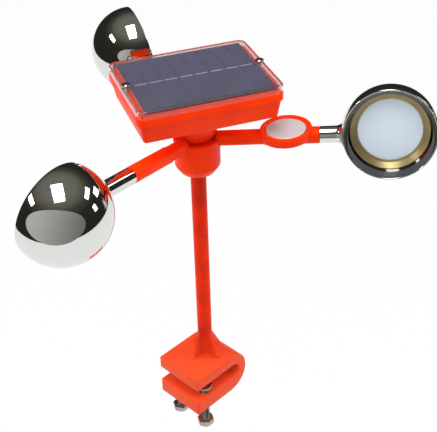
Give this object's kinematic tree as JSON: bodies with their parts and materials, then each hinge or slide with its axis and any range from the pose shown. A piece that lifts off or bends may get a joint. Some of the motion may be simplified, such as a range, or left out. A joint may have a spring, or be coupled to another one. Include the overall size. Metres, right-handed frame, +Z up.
{
  "type": "solar bird repeller",
  "caption": "Clamp-on post with a turning rotor of mirrored cups on arms that flash light at birds, driven from a solar box on top.",
  "frame": {"origin": "on the post's axis, at the underside of the clamp's upper jaw, which rests on the rail", "axes": "+Z up along the post, +X along the clamp's width, +Y towards the clamp's bend"},
  "size_m": [0.4109, 0.3912, 0.4428],
  "materials": {
    "orange_plastic": "moulded, satin gloss",
    "chrome": "chrome-plated plastic, mirror bright",
    "dark_chrome": "dark chrome plating",
    "gold": "gold plating",
    "blue_mirror": "pale blue mirror",
    "grey_mirror": "grey mirror",
    "zinc": "zinc-plated steel",
    "steel": "bright steel",
    "screw_chrome": "polished stainless steel",
    "white_plastic": "white acetal",
    "clear_plastic": "clear polycarbonate",
    "solar_cells": "laminated cells under a satin film",
    "foam_tape": "black foam tape",
    "black_plastic": "black moulding",
    "battery_wrap": "steel can in a plastic wrap",
    "circuit_board": "green solder mask",
    "wire_jacket": "insulated wire"
  },
  "bodies": {
    "stand": {"clamp_post": "orange_plastic", "clamp_nut_right": "zinc", "clamp_nut_left": "zinc", "spindle": "steel", "spacer_ring": "steel", "bearing_lower": "steel", "bearing_upper": "steel", "rotor_clip": "steel", "plate_collar": "steel", "plate_clip": "steel", "box_tray": "orange_plastic", "box_cover": "clear_plastic", "cover_screw_right": "screw_chrome", "cover_screw_left": "screw_chrome", "panel_tape": "foam_tape", "solar_panel": "solar_cells", "motor_plate": "steel", "plate_screw_a": "steel", "plate_screw_b": "steel", "plate_screw_c": "steel", "gearbox": "steel", "motor": "steel", "battery": "battery_wrap", "battery_holder": "black_plastic", "battery_contact_a": "zinc", "battery_contact_b": "zinc", "circuit_board": "circuit_board", "board_screw_a": "steel", "board_screw_b": "steel", "motor_wire": "wire_jacket", "battery_wire": "wire_jacket", "panel_wire": "wire_jacket"},
    "rotor": {"hub": "orange_plastic", "drive_gear": "white_plastic", "sleeve_right": "orange_plastic", "sleeve_back": "orange_plastic", "sleeve_left": "orange_plastic", "round_mirror": "grey_mirror"},
    "pinion": {"motor_pinion": "steel"},
    "cup_assembly_right": {"cup_right": "chrome", "cup_liner_right": "dark_chrome", "cup_bezel_right": "gold", "cup_mirror_right": "blue_mirror"},
    "cup_assembly_back": {"cup_back": "chrome", "cup_liner_back": "dark_chrome", "cup_bezel_back": "gold", "cup_mirror_back": "blue_mirror"},
    "cup_assembly_left": {"cup_left": "chrome", "cup_liner_left": "dark_chrome", "cup_bezel_left": "gold", "cup_mirror_left": "blue_mirror"},
    "bolt_right": {"clamp_bolt_right": "zinc", "bolt_pad_right": "zinc"},
    "bolt_left": {"clamp_bolt_left": "zinc", "bolt_pad_left": "zinc"}
  },
  "joints": [
    {"name": "rotor_spin", "type": "hinge", "parent": "stand", "child": "rotor", "pos_m": [0, 0, 0.296], "axis": [0, 0, 1], "continuous": true},
    {"name": "pinion_spin", "type": "hinge", "parent": "stand", "child": "pinion", "pos_m": [0.00384, 0.00786, 0.303], "axis": [0, 0, 1], "continuous": true},
    {"name": "cup_roll_right", "type": "hinge", "parent": "rotor", "child": "cup_assembly_right", "pos_m": [0, 0, 0.296], "axis": [0.7956, 0.5995, 0.0872], "continuous": true},
    {"name": "cup_roll_back", "type": "hinge", "parent": "rotor", "child": "cup_assembly_back", "pos_m": [0, 0, 0.296], "axis": [-0.917, 0.3892, 0.0872], "continuous": true},
    {"name": "cup_roll_left", "type": "hinge", "parent": "rotor", "child": "cup_assembly_left", "pos_m": [0, 0, 0.296], "axis": [0.1214, -0.9888, 0.0872], "continuous": true},
    {"name": "bolt_slide_right", "type": "slide", "parent": "stand", "child": "bolt_right", "axis": [0, 0, 1], "range_m": [-0.0054, 0.0073]},
    {"name": "bolt_slide_left", "type": "slide", "parent": "stand", "child": "bolt_left", "axis": [0, 0, 1], "range_m": [-0.0014, 0.0113]}
  ],
  "couplings": [
    {"joint": "pinion_spin", "follows": "rotor_spin", "ratio": -2.5}
  ]
}
